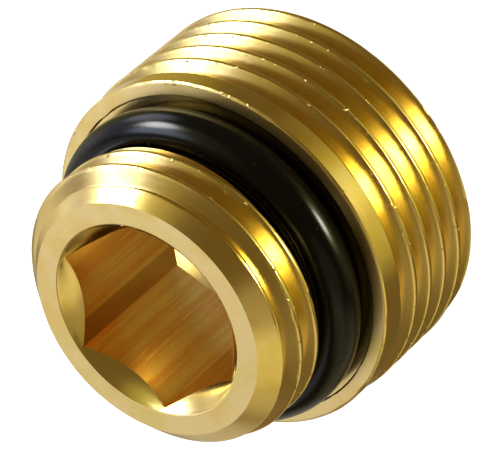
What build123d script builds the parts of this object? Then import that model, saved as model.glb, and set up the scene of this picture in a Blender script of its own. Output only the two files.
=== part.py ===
from build123d import *
import math
import os

# Double male adapter: G 1/2 to G 3/4, brass, with an internal hexagon and a rubber sealing ring.
# Millimetres and degrees. The part stands on its large end: the rear face is z = 0 and the axis is +Z.

# Pipe thread form, the same for both sizes: 14 turns to the inch and a 55 degree V
PITCH = 1.814
THREAD_DEPTH = 1.162
FLANK_HALF_ANGLE = 27.5
ROOT_FLAT = 0.303
CUTTER_RISE = 0.2
CUTTER_OVERRUN = 1.1

# Large end, from the rear face to the shoulder
LARGE_MAJOR_DIA = 26.441
LARGE_END_LENGTH = 11.4
LARGE_LEAD = 1.02
GROOVE_BELOW_SHOULDER = 1.7
GROOVE_END_ANGLE = 60.0
RUN_OUT_TURN = 80.0
RUN_OUT_STEPS = 6

# Collar under the shoulder, a little smaller than the thread
COLLAR_STEP = 0.22
COLLAR_LENGTH = 2.35
COLLAR_EDGE = 0.12

# Small end, from the shoulder to the front face
SMALL_MAJOR_DIA = 20.955
SMALL_END_LENGTH = 8.6
SMALL_LEAD = 1.78
GROOVE_BELOW_FRONT = 2.63
THREAD_END_EDGE = 0.36

# Sealing ring, its seat in the shoulder and the neck it grips
RING_SECTION_DIA = 3.3
RING_OUTER_DIA = 23.44
RING_CLEARANCE = 0.03
SEAT_MARGIN = 0.25
SEAT_DEPTH = 0.2
NECK_ROOM = 0.32

# Passage: key hexagon with its countersunk mouth, and the rear bore
HEX_ACROSS_FLATS = 12.0
HEX_DEPTH = 11.2
MOUTH_MARGIN = 0.22
MOUTH_HALF_ANGLE = 45.0
REAR_BORE_DIA = 16.0
REAR_BORE_EDGE = 0.5

total_length = LARGE_END_LENGTH + SMALL_END_LENGTH
large_r = LARGE_MAJOR_DIA / 2
small_r = SMALL_MAJOR_DIA / 2
collar_r = large_r - COLLAR_STEP
collar_start_z = LARGE_END_LENGTH - COLLAR_LENGTH
ring_section_r = RING_SECTION_DIA / 2
ring_centre_r = RING_OUTER_DIA / 2 - ring_section_r
seat_r = RING_OUTER_DIA / 2 + SEAT_MARGIN
seat_z = LARGE_END_LENGTH - SEAT_DEPTH
neck_r = ring_centre_r - ring_section_r - RING_CLEARANCE
ring_z = seat_z + ring_section_r + RING_CLEARANCE
thread_end_z = seat_z + RING_SECTION_DIA + NECK_ROOM
hex_corner_r = HEX_ACROSS_FLATS / 2 / math.cos(math.radians(30))
hex_end_z = total_length - HEX_DEPTH
mouth_r = hex_corner_r + MOUTH_MARGIN
mouth_depth = mouth_r / math.tan(math.radians(MOUTH_HALF_ANGLE))
rear_bore_r = REAR_BORE_DIA / 2

# Heights of the two grooves' middles at angle zero
large_groove_z = LARGE_END_LENGTH - GROOVE_BELOW_SHOULDER
small_groove_z = total_length - GROOVE_BELOW_FRONT


def groove_section(major_r, lift=0.0):
    """Section of the thread groove in the XZ plane, from its flat root to just above the crest."""
    rise = THREAD_DEPTH + CUTTER_RISE
    root_r = major_r - THREAD_DEPTH + lift
    half_root = ROOT_FLAT / 2
    half_top = half_root + rise * math.tan(math.radians(FLANK_HALF_ANGLE))
    outline = Polyline(
        (root_r, -half_root),
        (root_r + rise, -half_top),
        (root_r + rise, half_top),
        (root_r, half_root),
        close=True,
    )
    return make_face(Plane.XZ * outline)


def on_helix(shape, angle, z_at_zero):
    """Carry a shape from the XZ plane to its place on the right-hand helix."""
    return Rot(0, 0, angle) * Pos(0, 0, z_at_zero + PITCH * angle / 360) * shape


def groove_turns(major_r, z_at_zero, low_angle, high_angle):
    """The thread groove between two angles of its helix, as equal lengths of at most one turn."""
    count = math.ceil((high_angle - low_angle) / 360)
    turn = (high_angle - low_angle) / count
    path = Helix(PITCH, PITCH * turn / 360, major_r)
    length = sweep(groove_section(major_r), path=path, is_frenet=True)
    return [on_helix(length, low_angle + index * turn, z_at_zero) for index in range(count)]


def angle_at(z, z_at_zero):
    """Angle along a groove's helix at which its middle is at the height z."""
    return 360 * (z - z_at_zero) / PITCH


def turned(*points):
    """A solid of revolution about the axis from its outline of radius and height."""
    return revolve(make_face(Plane.XZ * Polyline(*points, close=True)), Axis.Z)


# Turned blank
blank = turned(
    (0, 0),
    (large_r - LARGE_LEAD, 0),
    (large_r, LARGE_LEAD),
    (large_r, collar_start_z - COLLAR_STEP),
    (collar_r, collar_start_z),
    (collar_r, LARGE_END_LENGTH - COLLAR_EDGE),
    (collar_r - COLLAR_EDGE, LARGE_END_LENGTH),
    (seat_r, LARGE_END_LENGTH),
    (seat_r, seat_z),
    (neck_r, seat_z),
    (neck_r, thread_end_z),
    (small_r - THREAD_END_EDGE, thread_end_z),
    (small_r, thread_end_z + THREAD_END_EDGE),
    (small_r, total_length - SMALL_LEAD),
    (small_r - SMALL_LEAD, total_length),
    (0, total_length),
)

# Passage for the water and the key
mouth = turned((0, total_length - mouth_depth), (mouth_r, total_length), (0, total_length))
hexagon = RegularPolygon(HEX_ACROSS_FLATS / 2, 6, major_radius=False)
key_socket = extrude(Pos(0, 0, hex_end_z) * hexagon, HEX_DEPTH)
rear_bore = turned(
    (0, 0),
    (rear_bore_r + REAR_BORE_EDGE, 0),
    (rear_bore_r, REAR_BORE_EDGE),
    (rear_bore_r, hex_end_z),
    (0, hex_end_z),
)

# Large thread, fading out in the collar
large_start = angle_at(-CUTTER_OVERRUN, large_groove_z)
large_groove = groove_turns(large_r, large_groove_z, large_start, GROOVE_END_ANGLE)
run_out_sections = []
for step in range(RUN_OUT_STEPS + 1):
    share = step / RUN_OUT_STEPS
    lifted = groove_section(large_r, share * THREAD_DEPTH)
    run_out_sections.append(on_helix(lifted, GROOVE_END_ANGLE + share * RUN_OUT_TURN, large_groove_z))
run_out = loft(run_out_sections)

# Small thread, open to the neck and to the front face
small_start = angle_at(thread_end_z - CUTTER_OVERRUN, small_groove_z)
small_end = angle_at(total_length + CUTTER_OVERRUN, small_groove_z)
small_groove = groove_turns(small_r, small_groove_z, small_start, small_end)

adapter_body = blank - mouth - key_socket - rear_bore
for cut in large_groove + [run_out] + small_groove:
    adapter_body -= cut
adapter_body.label = "adapter_body"

# Sealing ring, resting in its seat around the neck
sealing_ring = Pos(0, 0, ring_z) * Torus(ring_centre_r, ring_section_r)
sealing_ring.label = "sealing_ring"

os.makedirs("parts", exist_ok=True)
export_step(adapter_body, "parts/adapter_body.step")
export_step(sealing_ring, "parts/sealing_ring.step")
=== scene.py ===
import math
from types import SimpleNamespace

import bmesh
import bpy
from mathutils import Matrix, Vector, noise


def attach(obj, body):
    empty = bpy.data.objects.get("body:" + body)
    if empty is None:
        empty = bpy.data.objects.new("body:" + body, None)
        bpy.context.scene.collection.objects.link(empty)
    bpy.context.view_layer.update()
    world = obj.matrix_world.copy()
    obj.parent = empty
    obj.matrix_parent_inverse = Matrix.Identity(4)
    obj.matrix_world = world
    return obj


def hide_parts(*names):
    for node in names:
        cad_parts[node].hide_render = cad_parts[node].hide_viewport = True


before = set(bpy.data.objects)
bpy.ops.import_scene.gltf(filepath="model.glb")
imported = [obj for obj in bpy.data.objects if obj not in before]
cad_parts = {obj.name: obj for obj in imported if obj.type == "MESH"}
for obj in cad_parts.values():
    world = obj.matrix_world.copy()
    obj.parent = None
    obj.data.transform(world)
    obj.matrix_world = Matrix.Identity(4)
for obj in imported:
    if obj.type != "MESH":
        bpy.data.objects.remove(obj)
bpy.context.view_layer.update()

# Double male adapter in millimetres and degrees, from the rear face at height zero to the front face
MM = 0.001
FULL_TURN = 360.0
TOTAL = 20.0
SHOULDER_Z = 11.4

# Thread form, the same at both ends
PITCH = 1.814
THREAD_DEPTH = 1.162
ROOT_FLAT = 0.303
FLANK_HALF_ANGLE = 27.5

# Large end, whose groove fades out in the collar under the shoulder
LARGE_MAJOR_DIA = 26.441
LARGE_LEAD = 1.02
GROOVE_BELOW_SHOULDER = 1.7
FADE_START = 60.0
FADE_TURN = 80.0
FADE_MOST = 1.3
COLLAR_STEP = 0.22
COLLAR_LENGTH = 2.35
COLLAR_EDGE = 0.12
LARGE_R = LARGE_MAJOR_DIA / 2
LARGE_GROOVE_Z = SHOULDER_Z - GROOVE_BELOW_SHOULDER
COLLAR_R = LARGE_R - COLLAR_STEP
COLLAR_STEP_Z = SHOULDER_Z - COLLAR_LENGTH - COLLAR_STEP
COLLAR_TOP_Z = SHOULDER_Z - COLLAR_EDGE

# Small end, whose groove runs out through the front face
SMALL_MAJOR_DIA = 20.955
SMALL_LEAD = 1.78
GROOVE_BELOW_FRONT = 2.63
THREAD_END_EDGE = 0.36
NEVER_FADES = 3600.0
SMALL_R = SMALL_MAJOR_DIA / 2
SMALL_GROOVE_Z = TOTAL - GROOVE_BELOW_FRONT

# Sealing ring, its seat in the shoulder and the neck inside it
RING_SECTION_DIA = 3.3
RING_OUTER_DIA = 23.44
RING_CLEARANCE = 0.03
SEAT_MARGIN = 0.25
SEAT_DEPTH = 0.2
NECK_ROOM = 0.32
RING_SECTION_R = RING_SECTION_DIA / 2
RING_R = RING_OUTER_DIA / 2 - RING_SECTION_R
SEAT_R = RING_OUTER_DIA / 2 + SEAT_MARGIN
SEAT_Z = SHOULDER_Z - SEAT_DEPTH
RING_Z = SEAT_Z + RING_SECTION_R + RING_CLEARANCE
NECK_R = RING_R - RING_SECTION_R - RING_CLEARANCE
THREAD_END_Z = SEAT_Z + RING_SECTION_DIA + NECK_ROOM

# Key hexagon with its countersunk mouth, and the rear bore
HEX_ACROSS_FLATS = 12.0
HEX_DEPTH = 11.2
MOUTH_MARGIN = 0.22
REAR_BORE_R = 8.0
REAR_BORE_EDGE = 0.5
HEX_SIDE_TURN = math.pi / 3
HEX_HALF = HEX_ACROSS_FLATS / 2
HEX_CORNER_R = HEX_HALF / math.cos(HEX_SIDE_TURN / 2)
HEX_END_Z = TOTAL - HEX_DEPTH
MOUTH_R = HEX_CORNER_R + MOUTH_MARGIN

# Fineness of the skins
COLUMNS = 216
THREAD_ROWS = 36
RING_ROWS = 72
WELD = 0.0008
END_SLACK = 0.0001
SHARP_ANGLE = 35.0

# Rounding and nicks of the thread edges
EDGE_ROUND = 0.13
EDGE_NICK = 0.07
NICK_RATE = 2.2
NICK_RANGE = (0.6, 0.74)
NICK_REACH = 0.3
END_REACH = 0.2
LARGE_SEED = 3.0
SMALL_SEED = 11.0

# Rounding of the other turned edges, and the flat rings that join them to the threads
LATHE_ROUND = 0.07
LATHE_STEPS = 4
LATHE_FLAT = 1.3
LATHE_SHARE = 0.45
ROOT_MARGIN = 0.12
FACE_MARGIN = 0.05
STEP_MARGIN = 1.1

# Swollen countersink and nicked lip of the shoulder
MOUTH_EDGE = 0.12
MOUTH_SWELL = 0.16
MOUTH_FLAT = 0.88
MOUTH_SHARES = (0.15, 0.35, 0.6, 0.85)
LIP_DEPTH = 0.08
LIP_NICK = 0.14
LIP_NICK_RATE = 8.0
LIP_NICK_FROM = 0.1


def feed(tree, socket, value):
    """Join a socket to another one, or set it to a plain value."""
    if isinstance(value, bpy.types.NodeSocket):
        tree.links.new(value, socket)
    else:
        socket.default_value = value


def calc(tree, operation, *values):
    """One arithmetic step in a node tree."""
    node = tree.nodes.new("ShaderNodeMath")
    node.operation = operation
    for socket, value in zip(node.inputs, values):
        feed(tree, socket, value)
    return node.outputs[0]


def ease(tree, value, low, high, to_low=0.0, to_high=1.0):
    """A smooth step of a value between two limits."""
    node = tree.nodes.new("ShaderNodeMapRange")
    node.interpolation_type = "SMOOTHSTEP"
    feed(tree, node.inputs["Value"], value)
    feed(tree, node.inputs["From Min"], low)
    feed(tree, node.inputs["From Max"], high)
    feed(tree, node.inputs["To Min"], to_low)
    feed(tree, node.inputs["To Max"], to_high)
    return node.outputs[0]


def rises(tree, value, base, band):
    """Zero before a narrow band beside a base size, one past it."""
    return ease(tree, value, base + band[0], base + band[1])


def falls(tree, value, base, band):
    """One before a narrow band beside a base size, zero past it."""
    return ease(tree, value, base + band[0], base + band[1], 1.0, 0.0)


def mixed(tree, share, first, second):
    """A blend of two colours."""
    node = tree.nodes.new("ShaderNodeMix")
    node.data_type = "RGBA"
    feed(tree, node.inputs["Factor"], share)
    feed(tree, node.inputs["A"], first)
    feed(tree, node.inputs["B"], second)
    return node.outputs["Result"]


def noise_at(tree, vector, scale, detail=2.0, roughness=0.5, dimensions="3D"):
    """Grey noise at a position."""
    node = tree.nodes.new("ShaderNodeTexNoise")
    node.noise_dimensions = dimensions
    feed(tree, node.inputs["Vector"], vector)
    feed(tree, node.inputs["Scale"], scale)
    feed(tree, node.inputs["Detail"], detail)
    feed(tree, node.inputs["Roughness"], roughness)
    return node.outputs[0]


def combined(tree, x, y, z):
    """A vector from three values."""
    node = tree.nodes.new("ShaderNodeCombineXYZ")
    for socket, value in zip(node.inputs, (x, y, z)):
        feed(tree, socket, value)
    return node.outputs[0]


def separated(tree, vector):
    """The three values of a vector."""
    node = tree.nodes.new("ShaderNodeSeparateXYZ")
    feed(tree, node.inputs[0], vector)
    return node.outputs


def vector_step(tree, operation, *values):
    """One step of vector arithmetic in a node tree."""
    node = tree.nodes.new("ShaderNodeVectorMath")
    node.operation = operation
    for socket, value in zip(node.inputs, values):
        feed(tree, socket, value)
    return node.outputs


# Shapes made from named sizes
def shape_tree(name, sizes, result):
    """A new tree for a shape, with its named sizes, its finish and one result."""
    tree = bpy.data.node_groups.new(name, "GeometryNodeTree")
    for label in sizes:
        tree.interface.new_socket(name=label, in_out="INPUT", socket_type="NodeSocketFloat")
    tree.interface.new_socket(name="Finish", in_out="INPUT", socket_type="NodeSocketMaterial")
    tree.interface.new_socket(name=result, in_out="OUTPUT", socket_type="NodeSocketGeometry")
    return tree, tree.nodes.new("NodeGroupInput").outputs


def give_out(tree, given, shape):
    """End a shape's tree with real faces in its finish."""
    real = tree.nodes.new("GeometryNodeRealizeInstances")
    feed(tree, real.inputs["Geometry"], shape)
    finish = tree.nodes.new("GeometryNodeSetMaterial")
    feed(tree, finish.inputs["Geometry"], real.outputs[0])
    feed(tree, finish.inputs["Material"], given["Finish"])
    out = tree.nodes.new("NodeGroupOutput")
    feed(tree, out.inputs[0], finish.outputs[0])


def made_by(tree, name, values):
    """The plain mesh that a tree makes from its named inputs."""
    holder = bpy.data.objects.new(name, bpy.data.meshes.new(name))
    bpy.context.scene.collection.objects.link(holder)
    modifier = holder.modifiers.new(name, "NODES")
    modifier.node_group = tree
    for item in tree.interface.items_tree:
        if item.in_out == "INPUT":
            modifier[item.identifier] = values[item.name]
    graph = bpy.context.evaluated_depsgraph_get()
    mesh = bpy.data.meshes.new_from_object(holder.evaluated_get(graph))
    bpy.data.objects.remove(holder)
    mesh.name = name
    return mesh


def placed(name, mesh):
    """An object of that mesh, at the origin."""
    piece = bpy.data.objects.new(name, mesh)
    bpy.context.scene.collection.objects.link(piece)
    return piece


# Thread skins
THREAD_SIZES = (
    "Columns", "Rows", "First Angle", "Turns", "Groove Height", "Pitch", "Depth", "Root Flat",
    "Flank Slope", "Major Radius", "Low End", "High End", "Low Edge", "Step Start", "Collar Radius",
    "Fade Start", "Fade Turn", "Edge Round", "Edge Nick", "Seed",
)


def helix_place(tree, given):
    """Angle and height of each point of the skin, and its distance from the middle of the groove."""
    place = separated(tree, tree.nodes.new("GeometryNodeInputPosition").outputs[0])
    along = calc(tree, "ADD", place[0], 0.5)
    turned = calc(tree, "MULTIPLY", along, calc(tree, "MULTIPLY", given["Turns"], FULL_TURN))
    angle = calc(tree, "ADD", given["First Angle"], turned)
    rise = calc(tree, "DIVIDE", calc(tree, "MULTIPLY", angle, given["Pitch"]), FULL_TURN)
    middle = calc(tree, "ADD", given["Groove Height"], rise)
    free_height = calc(tree, "ADD", middle, calc(tree, "MULTIPLY", place[1], given["Pitch"]))
    height = calc(tree, "MINIMUM", calc(tree, "MAXIMUM", free_height, given["Low End"]), given["High End"])
    half_pitch = calc(tree, "MULTIPLY", given["Pitch"], 0.5)
    lower_half = calc(tree, "MULTIPLY", half_pitch, -1.0)
    offset = calc(tree, "WRAP", calc(tree, "SUBTRACT", height, middle), half_pitch, lower_half)
    return angle, height, calc(tree, "ABSOLUTE", offset)


def groove_radius(tree, given, angle, from_middle):
    """Radius of the groove: flat root, straight flanks, lifted out where the thread fades."""
    faded = calc(tree, "DIVIDE", calc(tree, "SUBTRACT", angle, given["Fade Start"]), given["Fade Turn"])
    lost_share = calc(tree, "MINIMUM", calc(tree, "MAXIMUM", faded, 0.0), FADE_MOST)
    sunk = calc(tree, "MULTIPLY", given["Depth"], calc(tree, "SUBTRACT", 1.0, lost_share))
    root = calc(tree, "SUBTRACT", given["Major Radius"], sunk)
    half_flat = calc(tree, "MULTIPLY", given["Root Flat"], 0.5)
    climb = calc(tree, "MULTIPLY", calc(tree, "SUBTRACT", from_middle, half_flat), given["Flank Slope"])
    return calc(tree, "ADD", root, calc(tree, "SMOOTH_MAX", climb, 0.0, given["Edge Round"]))


def blank_radius(tree, given, height):
    """Radius of the blank: chamfered low end, crest, and the cone down to the collar or the face."""
    low_rise = calc(tree, "SUBTRACT", calc(tree, "SUBTRACT", height, given["Low End"]), given["Low Edge"])
    low_cone = calc(tree, "ADD", given["Major Radius"], low_rise)
    past_step = calc(tree, "SUBTRACT", height, given["Step Start"])
    high_cone = calc(tree, "SUBTRACT", given["Major Radius"], past_step)
    upper = calc(tree, "MAXIMUM", high_cone, given["Collar Radius"])
    crest = calc(tree, "SMOOTH_MIN", given["Major Radius"], low_cone, given["Edge Round"])
    return calc(tree, "SMOOTH_MIN", crest, upper, given["Edge Round"])


def nick_loss(tree, given, cosine, sine, height, edge_gap):
    """Depth of the nicks along the crest edges, none at the flat ends."""
    round_x = calc(tree, "MULTIPLY", cosine, given["Major Radius"])
    round_y = calc(tree, "MULTIPLY", sine, given["Major Radius"])
    seeded = calc(tree, "ADD", height, given["Seed"])
    around = combined(tree, round_x, round_y, seeded)
    grain = noise_at(tree, around, scale=NICK_RATE, detail=3.0, roughness=0.6)
    nick = ease(tree, grain, *NICK_RANGE)
    near_edge = ease(tree, edge_gap, 0.0, NICK_REACH, 1.0, 0.0)
    to_low = ease(tree, calc(tree, "SUBTRACT", height, given["Low End"]), 0.0, END_REACH)
    to_high = ease(tree, calc(tree, "SUBTRACT", given["High End"], height), 0.0, END_REACH)
    inside = calc(tree, "MULTIPLY", to_low, to_high)
    loss = calc(tree, "MULTIPLY", calc(tree, "MULTIPLY", nick, near_edge), given["Edge Nick"])
    return calc(tree, "MULTIPLY", loss, inside)


def thread_tree():
    """The skin of a threaded end: rows along the helix, columns around the axis, ends cut flat."""
    tree, given = shape_tree("thread_skin", THREAD_SIZES, "Skin")
    grid = tree.nodes.new("GeometryNodeMeshGrid")
    feed(tree, grid.inputs["Size X"], 1.0)
    feed(tree, grid.inputs["Size Y"], 1.0)
    feed(tree, grid.inputs["Vertices X"], calc(tree, "ADD", given["Columns"], 1.0))
    feed(tree, grid.inputs["Vertices Y"], calc(tree, "ADD", given["Rows"], 1.0))
    angle, height, from_middle = helix_place(tree, given)
    groove = groove_radius(tree, given, angle, from_middle)
    blank = blank_radius(tree, given, height)
    radius = calc(tree, "SMOOTH_MIN", groove, blank, given["Edge Round"])
    turn = calc(tree, "RADIANS", angle)
    cosine = calc(tree, "COSINE", turn)
    sine = calc(tree, "SINE", turn)
    edge_gap = calc(tree, "ABSOLUTE", calc(tree, "SUBTRACT", groove, blank))
    worn = calc(tree, "SUBTRACT", radius, nick_loss(tree, given, cosine, sine, height, edge_gap))
    x = calc(tree, "MULTIPLY", cosine, worn)
    y = calc(tree, "MULTIPLY", sine, worn)
    scaled = tree.nodes.new("ShaderNodeVectorMath")
    scaled.operation = "SCALE"
    feed(tree, scaled.inputs[0], combined(tree, x, y, height))
    feed(tree, scaled.inputs["Scale"], MM)
    moved = tree.nodes.new("GeometryNodeSetPosition")
    feed(tree, moved.inputs["Geometry"], grid.outputs["Mesh"])
    feed(tree, moved.inputs["Position"], scaled.outputs[0])
    merged = tree.nodes.new("GeometryNodeMergeByDistance")
    feed(tree, merged.inputs["Geometry"], moved.outputs[0])
    feed(tree, merged.inputs["Distance"], WELD * MM)
    give_out(tree, given, merged.outputs[0])
    return tree


def thread_values(low, high, groove_z, own):
    """Inputs of a thread skin whose columns start at a whole column before its low end."""
    column_turn = FULL_TURN / COLUMNS
    first = math.floor((low - PITCH / 2 - groove_z) / PITCH * COLUMNS)
    last = math.ceil((high + PITCH / 2 - groove_z) / PITCH * COLUMNS)
    shared = {
        "Columns": float(last - first),
        "Rows": float(THREAD_ROWS),
        "First Angle": first * column_turn,
        "Turns": (last - first) / COLUMNS,
        "Groove Height": groove_z,
        "Pitch": PITCH,
        "Depth": THREAD_DEPTH,
        "Root Flat": ROOT_FLAT,
        "Flank Slope": 1 / math.tan(math.radians(FLANK_HALF_ANGLE)),
        "Low End": low,
        "High End": high,
        "Fade Turn": FADE_TURN,
        "Edge Round": EDGE_ROUND,
        "Edge Nick": EDGE_NICK,
    }
    return shared | own


def thread_meshes(brass):
    """The skins of the large and the small threaded end."""
    tree = thread_tree()
    large = thread_values(0.0, COLLAR_TOP_Z, LARGE_GROOVE_Z, {
        "Major Radius": LARGE_R,
        "Low Edge": LARGE_LEAD,
        "Step Start": COLLAR_STEP_Z,
        "Collar Radius": COLLAR_R,
        "Fade Start": FADE_START,
        "Seed": LARGE_SEED,
        "Finish": brass,
    })
    small = thread_values(THREAD_END_Z, TOTAL, SMALL_GROOVE_Z, {
        "Major Radius": SMALL_R,
        "Low Edge": THREAD_END_EDGE,
        "Step Start": TOTAL - SMALL_LEAD,
        "Collar Radius": 0.0,
        "Fade Start": NEVER_FADES,
        "Seed": SMALL_SEED,
        "Finish": brass,
    })
    return made_by(tree, "large_thread", large), made_by(tree, "small_thread", small)


# Turned and broached faces of the body
def column_angle(column):
    """Angle of a column around the axis, in radians."""
    return 2 * math.pi * column / COLUMNS


def loop_of(skin, radius, height):
    """One ring of points around the axis; radius and height may change with the column."""
    ring = []
    for column in range(COLUMNS):
        angle = column_angle(column)
        r = radius(column) if callable(radius) else radius
        z = height(column) if callable(height) else height
        ring.append(skin.verts.new((r * math.cos(angle) * MM, r * math.sin(angle) * MM, z * MM)))
    return ring


def turned_loops(skin, outline):
    """One ring for each point of an outline of radius and height."""
    return [loop_of(skin, r, z) for r, z in outline]


def end_loop(verts, height):
    """The ring of a thread skin's own points at one of its flat ends."""
    ring = [None] * COLUMNS
    for vert in verts:
        if abs(vert.co.z - height * MM) < END_SLACK * MM:
            column = round(math.atan2(vert.co.y, vert.co.x) / (2 * math.pi) * COLUMNS) % COLUMNS
            ring[column] = vert
    return ring


def joined(skin, rings):
    """Faces between each ring and the next."""
    for first, second in zip(rings, rings[1:]):
        for column in range(COLUMNS):
            after = (column + 1) % COLUMNS
            skin.faces.new((first[column], first[after], second[after], second[column]))


def rounded(points):
    """An outline of radius and height with its inner corners rounded and held flat beside them."""
    path = [points[0]]
    for before, corner, after in zip(points, points[1:], points[2:]):
        corner = Vector(corner)
        back = Vector(before) - corner
        ahead = Vector(after) - corner
        reach = min(LATHE_ROUND, LATHE_SHARE * back.length, LATHE_SHARE * ahead.length)
        back.normalize()
        ahead.normalize()
        path.append(tuple(corner + back * reach * LATHE_FLAT))
        for step in range(LATHE_STEPS + 1):
            t = step / LATHE_STEPS
            bent = back * (1 - t) ** 2 + ahead * t ** 2
            path.append(tuple(corner + bent * reach))
        path.append(tuple(corner + ahead * reach * LATHE_FLAT))
    path.append(points[-1])
    return path


def hex_radius(column):
    """Distance from the axis to the hexagon's wall, with corners on the columns at each sixth."""
    angle = column_angle(column) % HEX_SIDE_TURN
    return HEX_HALF / math.cos(angle - HEX_SIDE_TURN / 2)


def mouth_height(column):
    """Height of the countersink's edge on the hexagon's wall."""
    return TOTAL - (MOUTH_R - hex_radius(column))


def mouth_loop(skin, share):
    """One ring of the countersink between the hexagon and the face, slightly swollen."""
    def width(column):
        """Width of the countersink at a column."""
        return MOUTH_R - hex_radius(column)

    def swollen(column):
        """How far the countersink stands out at a column."""
        return MOUTH_SWELL * width(column) * share * (1 - share)

    return loop_of(
        skin,
        lambda column: hex_radius(column) + width(column) * share * MOUTH_FLAT - swollen(column),
        lambda column: mouth_height(column) + width(column) * share * MOUTH_FLAT + swollen(column),
    )


def nicked(radius):
    """A radius with small dents at a few places around the axis."""
    def at_column(column):
        """The radius at a column, less its dent."""
        angle = column_angle(column)
        spot = Vector((math.cos(angle) * LIP_NICK_RATE, math.sin(angle) * LIP_NICK_RATE, radius))
        return radius - LIP_NICK * max(0.0, noise.noise(spot) - LIP_NICK_FROM)

    return at_column


def passage(skin, rear):
    """Rear face, rear bore and the walls of the hexagon, up to the ring at its mouth."""
    outline = rounded([
        (LARGE_R - THREAD_DEPTH - ROOT_MARGIN, 0.0),
        (REAR_BORE_R + REAR_BORE_EDGE, 0.0),
        (REAR_BORE_R, REAR_BORE_EDGE),
        (REAR_BORE_R, HEX_END_Z),
        (HEX_HALF + STEP_MARGIN, HEX_END_Z),
    ])
    hex_end = loop_of(skin, hex_radius, HEX_END_Z)
    hex_mouth = loop_of(skin, hex_radius, mouth_height)
    joined(skin, [rear] + turned_loops(skin, outline) + [hex_end, hex_mouth])
    return hex_mouth


def front_face(skin, hex_mouth, front):
    """Countersunk mouth and front face."""
    outline = rounded([
        (MOUTH_R - MOUTH_EDGE, TOTAL - MOUTH_EDGE),
        (MOUTH_R, TOTAL),
        (SMALL_R - SMALL_LEAD - FACE_MARGIN, TOTAL),
    ])
    swell = [mouth_loop(skin, share) for share in MOUTH_SHARES]
    joined(skin, [hex_mouth] + swell + turned_loops(skin, outline) + [front])


def shoulder(skin, collar, neck_side):
    """Lip of the shoulder, seat of the ring, neck and the end of the small thread."""
    outline = rounded([
        (COLLAR_R, COLLAR_TOP_Z),
        (COLLAR_R - COLLAR_EDGE, SHOULDER_Z),
        (SEAT_R, SHOULDER_Z),
        (SEAT_R, SEAT_Z),
        (NECK_R, SEAT_Z),
        (NECK_R, THREAD_END_Z),
        (SMALL_R - THREAD_DEPTH - ROOT_MARGIN, THREAD_END_Z),
    ])
    loops = []
    for r, z in outline[1:]:
        on_lip = SEAT_R < r and SHOULDER_Z - LIP_DEPTH < z
        loops.append(loop_of(skin, nicked(r) if on_lip else r, z))
    joined(skin, [collar] + loops + [neck_side])


def brass_body(brass):
    """The whole turned body as one closed skin."""
    large, small = thread_meshes(brass)
    skin = bmesh.new()
    skin.from_mesh(large)
    large_verts = list(skin.verts)
    skin.from_mesh(small)
    small_verts = list(skin.verts)[len(large_verts):]
    hex_mouth = passage(skin, end_loop(large_verts, 0.0))
    front_face(skin, hex_mouth, end_loop(small_verts, TOTAL))
    shoulder(skin, end_loop(large_verts, COLLAR_TOP_Z), end_loop(small_verts, THREAD_END_Z))
    bmesh.ops.recalc_face_normals(skin, faces=skin.faces)
    for face in skin.faces:
        face.smooth = True
    mesh = bpy.data.meshes.new("brass_body")
    skin.to_mesh(mesh)
    skin.free()
    mesh.set_sharp_from_angle(angle=math.radians(SHARP_ANGLE))
    # One finish for every face, those of the thread skins too
    mesh.materials.clear()
    mesh.materials.append(brass)
    return placed("brass_body", mesh)


# Rubber ring
RING_SIZES = ("Ring Radius", "Section Radius", "Height", "Columns", "Rows")


def ring_tree():
    """A round section carried around a circle."""
    tree, given = shape_tree("moulded_ring", RING_SIZES, "Ring")
    path = tree.nodes.new("GeometryNodeCurvePrimitiveCircle")
    feed(tree, path.inputs["Resolution"], given["Columns"])
    feed(tree, path.inputs["Radius"], given["Ring Radius"])
    section = tree.nodes.new("GeometryNodeCurvePrimitiveCircle")
    feed(tree, section.inputs["Resolution"], given["Rows"])
    feed(tree, section.inputs["Radius"], given["Section Radius"])
    swept = tree.nodes.new("GeometryNodeCurveToMesh")
    feed(tree, swept.inputs["Curve"], path.outputs["Curve"])
    feed(tree, swept.inputs["Profile Curve"], section.outputs["Curve"])
    lifted = tree.nodes.new("GeometryNodeTransform")
    feed(tree, lifted.inputs["Geometry"], swept.outputs[0])
    feed(tree, lifted.inputs["Translation"], combined(tree, 0.0, 0.0, given["Height"]))
    smooth = tree.nodes.new("GeometryNodeSetShadeSmooth")
    feed(tree, smooth.inputs["Geometry"], lifted.outputs[0])
    give_out(tree, given, smooth.outputs[0])
    return tree


def rubber_ring(rubber):
    """The sealing ring as a plain mesh with its faces outwards."""
    mesh = made_by(ring_tree(), "rubber_ring", {
        "Ring Radius": RING_R * MM,
        "Section Radius": RING_SECTION_R * MM,
        "Height": RING_Z * MM,
        "Columns": float(COLUMNS),
        "Rows": float(RING_ROWS),
        "Finish": rubber,
    })
    skin = bmesh.new()
    skin.from_mesh(mesh)
    bmesh.ops.recalc_face_normals(skin, faces=skin.faces)
    skin.to_mesh(mesh)
    skin.free()
    return placed("rubber_ring", mesh)


# Effects that both finishes share
def effect_group(name, inputs, outputs):
    """An empty group that takes a place and named numbers, and gives named numbers."""
    tree = bpy.data.node_groups.new(name, "ShaderNodeTree")
    tree.interface.new_socket(name="Place", in_out="INPUT", socket_type="NodeSocketVector")
    for label in inputs:
        tree.interface.new_socket(name=label, in_out="INPUT", socket_type="NodeSocketFloat")
    for label in outputs:
        tree.interface.new_socket(name=label, in_out="OUTPUT", socket_type="NodeSocketFloat")
    return tree, tree.nodes.new("NodeGroupInput").outputs, tree.nodes.new("NodeGroupOutput").inputs


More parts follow.
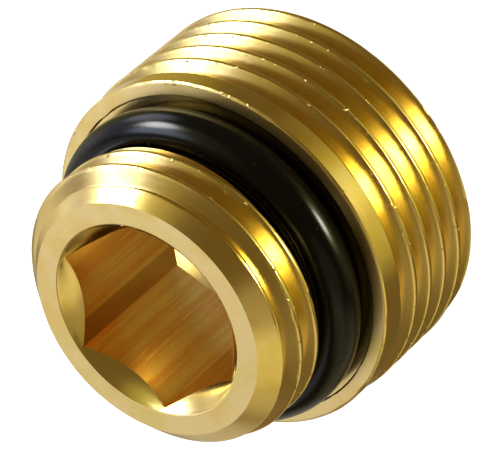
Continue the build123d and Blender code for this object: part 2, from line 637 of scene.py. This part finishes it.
def clouded_gloss():
    """Soft clouds over a surface, and the roughness that follows them."""
    numbers = ("Scale", "Detail", "Blend", "Least", "Spread")
    tree, given, out = effect_group("clouded_gloss", numbers, ("Cloud", "Roughness"))
    cloud = noise_at(tree, given["Place"], given["Scale"], given["Detail"], given["Blend"])
    feed(tree, out["Cloud"], cloud)
    feed(tree, out["Roughness"], calc(tree, "MULTIPLY_ADD", cloud, given["Spread"], given["Least"]))
    return tree


def small_specks():
    """Scattered specks, one where a speck is and zero between them."""
    tree, given, out = effect_group("small_specks", ("Scale", "Detail", "Bare", "Full"), ("Speck",))
    grey = noise_at(tree, given["Place"], given["Scale"], given["Detail"])
    feed(tree, out["Speck"], ease(tree, grey, given["Bare"], given["Full"]))
    return tree


def effect(tree, group, **values):
    """The outputs of a shared effect, placed in a material with its own values."""
    node = tree.nodes.new("ShaderNodeGroup")
    node.node_tree = group
    for label, value in values.items():
        feed(tree, node.inputs[label], value)
    return node.outputs


def new_finish(name):
    """A new material and its surface."""
    material = bpy.data.materials.new(name)
    material.use_nodes = True
    return material, material.node_tree.nodes["Principled BSDF"]


def relief(tree, shader, height, strength, depth):
    """Fine relief of a surface, its depth in millimetres."""
    bump = tree.nodes.new("ShaderNodeBump")
    bump.inputs["Strength"].default_value = strength
    bump.inputs["Distance"].default_value = depth * MM
    tree.links.new(height, bump.inputs["Height"])
    tree.links.new(bump.outputs[0], shader.inputs["Normal"])


# Colours of the brass, bright where it is turned and browner on the broached walls
BRIGHT = (0.90, 0.72, 0.33, 1.0)
TARNISH_BROWN = (0.86, 0.65, 0.24, 1.0)
TARNISH_OLIVE = (0.83, 0.68, 0.25, 1.0)
BROACHED_BROWN = (0.82, 0.46, 0.14, 1.0)
BROACHED_GOLD = (0.88, 0.66, 0.25, 1.0)
SCORED_GOLD = (0.92, 0.66, 0.27, 1.0)
# Painted dark reflection for one strip of the hexagon's wall
DARK_REFLECTION_BROWN = (0.6, 0.38, 0.13, 1.0)

# Where the marks of the brass begin and end in its grey noise
HUE_RANGE = (0.4, 0.6)
TARNISH_RANGE = (0.42, 0.66)
STREAK_RANGE = (0.36, 0.62)
SCORE_RANGE = (0.58, 0.72)
CHIP_RANGE = (0.48, 0.56)

# Soft limits of the hexagon's walls, the lip and the crests, beside their own sizes in millimetres
MOUTH_BAND = (0.01, 0.05)
CORNER_BAND = (0.012, 0.062)
HEX_END_BAND = (-0.1, 0.1)
LIP_TOP_BAND = (-0.06, -0.02)
LIP_INNER_BAND = (-0.05, 0.02)
LIP_EDGE_BAND = (-0.3, -0.14)
LIP_HEIGHT_BAND = (-0.2, -0.1)
CREST_BAND = (-0.2, -0.06)
OVER_CREST_BAND = (0.05, 0.1)
THREAD_END_BAND = (0.0, 0.1)

# Strip of the hexagon's wall painted darker as a dark reflection of the neighbouring wall, between two
# bearings
DARK_REFLECTION_FROM = 46.0
DARK_REFLECTION_FROM_BAND = (-1.0, 1.0)
DARK_REFLECTION_TO = 60.0
DARK_REFLECTION_TO_BAND = (-0.4, 0.0)

# Roughness and relief of the brass
LEAST_ROUGHNESS = 0.15
RINGS_ROUGHNESS = 0.07
WALL_ROUGHNESS = -0.12
SCORE_ROUGHNESS = 0.14
LIP_ROUGHNESS = 0.14
STREAK_DRAW = 0.05
RINGS_RELIEF = 0.05
WAVE_RELIEF = 1.4
BURR_RELIEF = 6.0
BRASS_RELIEF_DEPTH = 0.006


def turned_place(tree):
    """Where a point of the body lies, also as radius, height and bearing about the axis."""
    place = tree.nodes.new("ShaderNodeTexCoord").outputs["Object"]
    x, y, z = separated(tree, place)
    squares = calc(tree, "ADD", calc(tree, "MULTIPLY", x, x), calc(tree, "MULTIPLY", y, y))
    return SimpleNamespace(
        place=place,
        radius=calc(tree, "DIVIDE", calc(tree, "SQRT", squares), MM),
        height=calc(tree, "DIVIDE", z, MM),
        bearing=calc(tree, "DEGREES", calc(tree, "ARCTAN2", y, x)),
        down_wall=combined(tree, x, y, calc(tree, "MULTIPLY", z, STREAK_DRAW)),
    )


def hexagon_walls(tree, at):
    """One on the walls of the hexagon below its countersunk mouth, zero elsewhere."""
    below_mouth = rises(tree, calc(tree, "SUBTRACT", at.radius, at.height), MOUTH_R - TOTAL, MOUTH_BAND)
    within = falls(tree, at.radius, HEX_CORNER_R, CORNER_BAND)
    over_end = rises(tree, at.height, HEX_END_Z, HEX_END_BAND)
    return calc(tree, "MULTIPLY", below_mouth, calc(tree, "MULTIPLY", within, over_end))


def broached_tone(tree, at, hairline):
    """Colour of the hexagon's walls: drawn-out streaks, fine scores and one strip of painted dark
    reflection.
    """
    streak = noise_at(tree, at.down_wall, scale=700.0, detail=3.0, roughness=0.65)
    broached = mixed(tree, ease(tree, streak, *STREAK_RANGE), BROACHED_BROWN, BROACHED_GOLD)
    scored = mixed(tree, ease(tree, hairline, *SCORE_RANGE), broached, SCORED_GOLD)
    # The strip between the two bearings is painted darker as a dark reflection of the neighbouring wall
    past_start = rises(tree, at.bearing, DARK_REFLECTION_FROM, DARK_REFLECTION_FROM_BAND)
    before_end = falls(tree, at.bearing, DARK_REFLECTION_TO, DARK_REFLECTION_TO_BAND)
    return mixed(tree, calc(tree, "MULTIPLY", past_start, before_end), scored, DARK_REFLECTION_BROWN)


def turned_tone(tree, cloud, hue):
    """Colour of the turned faces: bright, with soft tarnish."""
    tarnish = mixed(tree, ease(tree, hue, *HUE_RANGE), TARNISH_BROWN, TARNISH_OLIVE)
    return mixed(tree, ease(tree, cloud, *TARNISH_RANGE), BRIGHT, tarnish)


def lip_top(tree, at):
    """One on the flat top of the shoulder's lip, zero elsewhere."""
    on_top = rises(tree, at.height, SHOULDER_Z, LIP_TOP_BAND)
    return calc(tree, "MULTIPLY", on_top, rises(tree, at.radius, SEAT_R, LIP_INNER_BAND))


def edge_burrs(tree, specks, at, hue):
    """Burrs left on the crests of both threads, and chips along the edge of the lip."""
    large_crest = rises(tree, at.radius, LARGE_R, CREST_BAND)
    small_inside = rises(tree, at.radius, SMALL_R, CREST_BAND)
    small_outside = falls(tree, at.radius, SMALL_R, OVER_CREST_BAND)
    near_small = calc(tree, "MULTIPLY", small_inside, small_outside)
    over_neck = rises(tree, at.height, THREAD_END_Z, THREAD_END_BAND)
    small_crest = calc(tree, "MULTIPLY", near_small, over_neck)
    burr = effect(tree, specks, Place=at.place, Scale=2600.0, Detail=1.0, Bare=0.66, Full=0.76)
    crests = calc(tree, "MULTIPLY", burr["Speck"], calc(tree, "MAXIMUM", large_crest, small_crest))
    lip_outside = rises(tree, at.radius, COLLAR_R, LIP_EDGE_BAND)
    lip_edge = calc(tree, "MULTIPLY", lip_outside, rises(tree, at.height, SHOULDER_Z, LIP_HEIGHT_BAND))
    chip = effect(tree, specks, Place=at.place, Scale=3000.0, Detail=1.0, Bare=0.58, Full=0.74)
    chipped = calc(tree, "MULTIPLY", ease(tree, hue, *CHIP_RANGE), chip["Speck"])
    return calc(tree, "MULTIPLY_ADD", lip_edge, chipped, crests)


def brass_finish(clouds, specks):
    """Bright turned brass: fine tool marks around the axis, broached walls in the hexagon."""
    material, shader = new_finish("turned_brass")
    tree = material.node_tree
    shader.inputs["Metallic"].default_value = 1.0
    at = turned_place(tree)
    around = combined(tree, at.radius, at.height, 0.0)
    rings = noise_at(tree, around, scale=4.0, detail=1.0, roughness=0.6, dimensions="2D")
    least = calc(tree, "MULTIPLY_ADD", rings, RINGS_ROUGHNESS, LEAST_ROUGHNESS)
    gloss = effect(
        tree, clouds, Place=at.place, Scale=330.0, Detail=4.0, Blend=0.6, Least=least, Spread=0.07
    )
    hue = noise_at(tree, at.place, scale=210.0)
    hairline = noise_at(tree, at.down_wall, scale=5200.0, roughness=0.6)
    in_hexagon = hexagon_walls(tree, at)
    turned = turned_tone(tree, gloss["Cloud"], hue)
    tone = mixed(tree, in_hexagon, turned, broached_tone(tree, at, hairline))
    tree.links.new(tone, shader.inputs["Base Color"])
    brushed = calc(tree, "MULTIPLY_ADD", hairline, SCORE_ROUGHNESS, WALL_ROUGHNESS)
    rough = calc(tree, "MULTIPLY_ADD", in_hexagon, brushed, gloss["Roughness"])
    dulled = calc(tree, "MULTIPLY_ADD", lip_top(tree, at), LIP_ROUGHNESS, rough)
    tree.links.new(dulled, shader.inputs["Roughness"])
    wave = noise_at(tree, at.place, scale=520.0, roughness=0.55)
    burrs = calc(tree, "MULTIPLY", edge_burrs(tree, specks, at, hue), BURR_RELIEF)
    waves = calc(tree, "MULTIPLY_ADD", wave, WAVE_RELIEF, burrs)
    marks = calc(tree, "MULTIPLY_ADD", rings, RINGS_RELIEF, waves)
    relief(tree, shader, marks, strength=1.0, depth=BRASS_RELIEF_DEPTH)
    return material


# Black rubber with a little dust
BLACK = (0.004, 0.004, 0.004, 1.0)
DUST_GREY = (0.03, 0.03, 0.028, 1.0)
RUBBER_SHINE = 0.45
RUBBER_SHINE_TINT = (0.96, 0.99, 0.98, 1.0)
GRAIN_STRENGTH = 0.25
GRAIN_DEPTH = 0.01


def rubber_finish(clouds, specks):
    """Black moulded rubber: satin, with a fine grain and a little dust."""
    material, shader = new_finish("black_rubber")
    tree = material.node_tree
    shader.inputs["Specular IOR Level"].default_value = RUBBER_SHINE
    shader.inputs["Specular Tint"].default_value = RUBBER_SHINE_TINT
    place = tree.nodes.new("ShaderNodeTexCoord").outputs["Object"]
    gloss = effect(
        tree, clouds, Place=place, Scale=420.0, Detail=2.0, Blend=0.5, Least=0.16, Spread=0.05
    )
    dust = effect(tree, specks, Place=place, Scale=2600.0, Detail=0.0, Bare=0.78, Full=0.84)
    tree.links.new(mixed(tree, dust["Speck"], BLACK, DUST_GREY), shader.inputs["Base Color"])
    tree.links.new(gloss["Roughness"], shader.inputs["Roughness"])
    grain = noise_at(tree, place, scale=5200.0, detail=3.0, roughness=0.6)
    relief(tree, shader, grain, GRAIN_STRENGTH, GRAIN_DEPTH)
    return material


clouds = clouded_gloss()
specks = small_specks()
brass = brass_finish(clouds, specks)
rubber = rubber_finish(clouds, specks)
body = brass_body(brass)
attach(body, "root")
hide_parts("adapter_body")
ring = rubber_ring(rubber)
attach(ring, "root")
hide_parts("sealing_ring")

# Floor of pale paper, half its width in metres, just under the part
FLOOR_HALF = 3.0
FLOOR_DROP = 0.03
FLOOR_CORNERS = ((-1, -1), (1, -1), (1, 1), (-1, 1))
PAPER_GREY = (0.42, 0.42, 0.42, 1.0)
PAPER_WHITE = (1.0, 1.0, 1.0, 1.0)
PAPER_GLOW = 0.86
PAPER_ROUGHNESS = 0.9


def pale_paper():
    """Plain pale paper without shine."""
    material, shader = new_finish("pale_paper")
    shader.inputs["Base Color"].default_value = PAPER_GREY
    shader.inputs["Emission Color"].default_value = PAPER_WHITE
    shader.inputs["Emission Strength"].default_value = PAPER_GLOW
    shader.inputs["Roughness"].default_value = PAPER_ROUGHNESS
    shader.inputs["Specular IOR Level"].default_value = 0.0
    return material


def plain_floor():
    """A wide sheet of pale paper that the brass does not mirror."""
    mesh = bpy.data.meshes.new("floor")
    corners = [(x * FLOOR_HALF, y * FLOOR_HALF, -FLOOR_DROP * MM) for x, y in FLOOR_CORNERS]
    mesh.from_pydata(corners, [], [tuple(range(len(corners)))])
    mesh.materials.append(pale_paper())
    sheet = placed("floor", mesh)
    sheet.visible_glossy = False
    return sheet


floor = plain_floor()

# Paper below the open bore, brightest near its middle
GLOW_R = 7.9
GLOW_MIDDLE = Vector((-1.5, 1.1, 0.02)) * MM
GLOW_CORE = 1.0
GLOW_RIM = 1.8
GLOW_BRIGHT = 3.2
GLOW_DIM = 0.24
LIT_GREY = (0.5, 0.5, 0.5, 1.0)
LIT_CREAM = (1.0, 0.96, 0.85, 1.0)


def lit_paper():
    """Paper with a bright spot that falls off to a dim rim."""
    material, shader = new_finish("lit_paper")
    tree = material.node_tree
    shader.inputs["Base Color"].default_value = LIT_GREY
    shader.inputs["Emission Color"].default_value = LIT_CREAM
    place = tree.nodes.new("ShaderNodeTexCoord").outputs["Object"]
    away = vector_step(tree, "DISTANCE", place, GLOW_MIDDLE)["Value"]
    level = ease(tree, away, GLOW_CORE * MM, GLOW_RIM * MM, GLOW_BRIGHT, GLOW_DIM)
    feed(tree, shader.inputs["Emission Strength"], level)
    return material


def paper_in_bore():
    """A round of lit paper inside the rear bore, seen only as the brass mirrors it."""
    mesh = bpy.data.meshes.new("bore_glow")
    rim = []
    for column in range(COLUMNS):
        angle = column_angle(column)
        rim.append((GLOW_R * MM * math.cos(angle), GLOW_R * MM * math.sin(angle), GLOW_MIDDLE.z))
    mesh.from_pydata(rim, [], [tuple(range(COLUMNS))])
    mesh.materials.append(lit_paper())
    disc = placed("bore_glow", mesh)
    disc.visible_camera = False
    return disc


bore_glow = paper_in_bore()

# Camera: its place in millimetres, its axes and its lens
CAMERA_PLACE = Vector((-61.13, -185.48, 186.86))
CAMERA_RIGHT = Vector((-0.78549, -0.27597, -0.55396))
CAMERA_UP = Vector((0.57405, -0.65938, -0.48550))
CAMERA_BACK = Vector((-0.23129, -0.69936, 0.67634))
SENSOR_WIDTH = 36.0
FOCAL_LENGTH = 285.03
NEAR_CLIP = 5.0
FAR_CLIP = 20000.0

# Studio light: a dim room and the tints of its soft panels
CAMERA_AZIMUTH = -108.3
ROOM = (0.157, 0.115, 0.048)
BACKDROP = (1.0, 1.0, 1.0, 1.0)
WHITE = (1.0, 0.99, 0.97)
WARM = (1.0, 0.93, 0.6)
OLIVE = (1.0, 0.95, 0.32)
COOL = (1.0, 1.03, 1.2)
BLUE = (1.0, 1.1, 1.5)

# Each panel by azimuth from the camera, height, core and rim in degrees, strength and tint
PANELS = (
    (97.0, -8.0, 6.0, 19.0, 1.6, COOL),
    (94.0, 23.0, 4.5, 14.0, 13.0, WHITE),
    (112.0, 9.0, 16.0, 34.0, 0.28, BLUE),
    (107.0, 41.0, 6.0, 17.0, 2.4, BLUE),
    (84.0, 42.0, 12.0, 33.0, 0.25, OLIVE),
    (-25.0, -21.0, 2.5, 10.0, 15.0, WHITE),
    (-26.0, -23.0, 5.0, 20.0, 2.1, OLIVE),
    (8.0, -46.0, 8.0, 26.0, 0.09, OLIVE),
    (-34.0, -37.0, 12.0, 40.0, 0.38, OLIVE),
    (-21.0, -45.0, 5.0, 14.0, 0.14, BLUE),
    (-68.0, 37.0, 18.0, 33.0, 0.21, WARM),
    (-94.0, 33.0, 10.0, 25.0, 0.32, WARM),
    (-104.0, -5.0, 16.0, 36.0, 0.4, WARM),
    (180.0, 40.0, 24.0, 38.0, 0.45, COOL),
    (165.0, 46.0, 2.0, 8.0, 1.7, BLUE),
    (148.0, 4.0, 10.0, 30.0, 0.42, WHITE),
    (132.0, -44.0, 14.0, 42.0, 0.23, OLIVE),
    (170.0, -43.0, 7.0, 22.0, 0.28, BLUE),
    (-156.0, -14.0, 8.0, 28.0, 0.33, WHITE),
)


def studio_light():
    """The room as the brass reflects it, white behind the object."""
    world = bpy.data.worlds.new("studio")
    world.use_nodes = True
    bpy.context.scene.world = world
    tree = world.node_tree
    towards = tree.nodes.new("ShaderNodeTexCoord").outputs["Generated"]
    total = ROOM
    for azimuth, elevation, core, rim, strength, tint in PANELS:
        turn = math.radians(azimuth + CAMERA_AZIMUTH)
        lift = math.radians(elevation)
        aim = Vector((math.cos(turn) * math.cos(lift), math.sin(turn) * math.cos(lift), math.sin(lift)))
        facing = vector_step(tree, "DOT_PRODUCT", towards, aim)["Value"]
        rim_level = math.cos(math.radians(rim))
        core_level = math.cos(math.radians(core))
        level = ease(tree, facing, rim_level, core_level, 0.0, strength)
        total = vector_step(tree, "MULTIPLY_ADD", tint, level, total)["Vector"]
    seen = tree.nodes.new("ShaderNodeLightPath").outputs["Is Camera Ray"]
    backdrop = mixed(tree, seen, total, BACKDROP)
    tree.links.new(backdrop, tree.nodes["Background"].inputs["Color"])


def studio_camera():
    """A camera with a long lens that looks down on the front face."""
    lens = bpy.data.cameras.new("camera")
    lens.sensor_fit = "HORIZONTAL"
    lens.sensor_width = SENSOR_WIDTH
    lens.lens = FOCAL_LENGTH
    lens.clip_start = NEAR_CLIP * MM
    lens.clip_end = FAR_CLIP * MM
    camera = bpy.data.objects.new("camera", lens)
    turned_axes = Matrix((CAMERA_RIGHT, CAMERA_UP, CAMERA_BACK)).transposed().to_4x4()
    camera.matrix_world = Matrix.Translation(CAMERA_PLACE * MM) @ turned_axes
    bpy.context.scene.collection.objects.link(camera)
    bpy.context.scene.camera = camera


studio_light()
studio_camera()
bpy.context.scene.view_settings.view_transform = "Standard"
bpy.context.scene.view_settings.look = "Medium High Contrast"
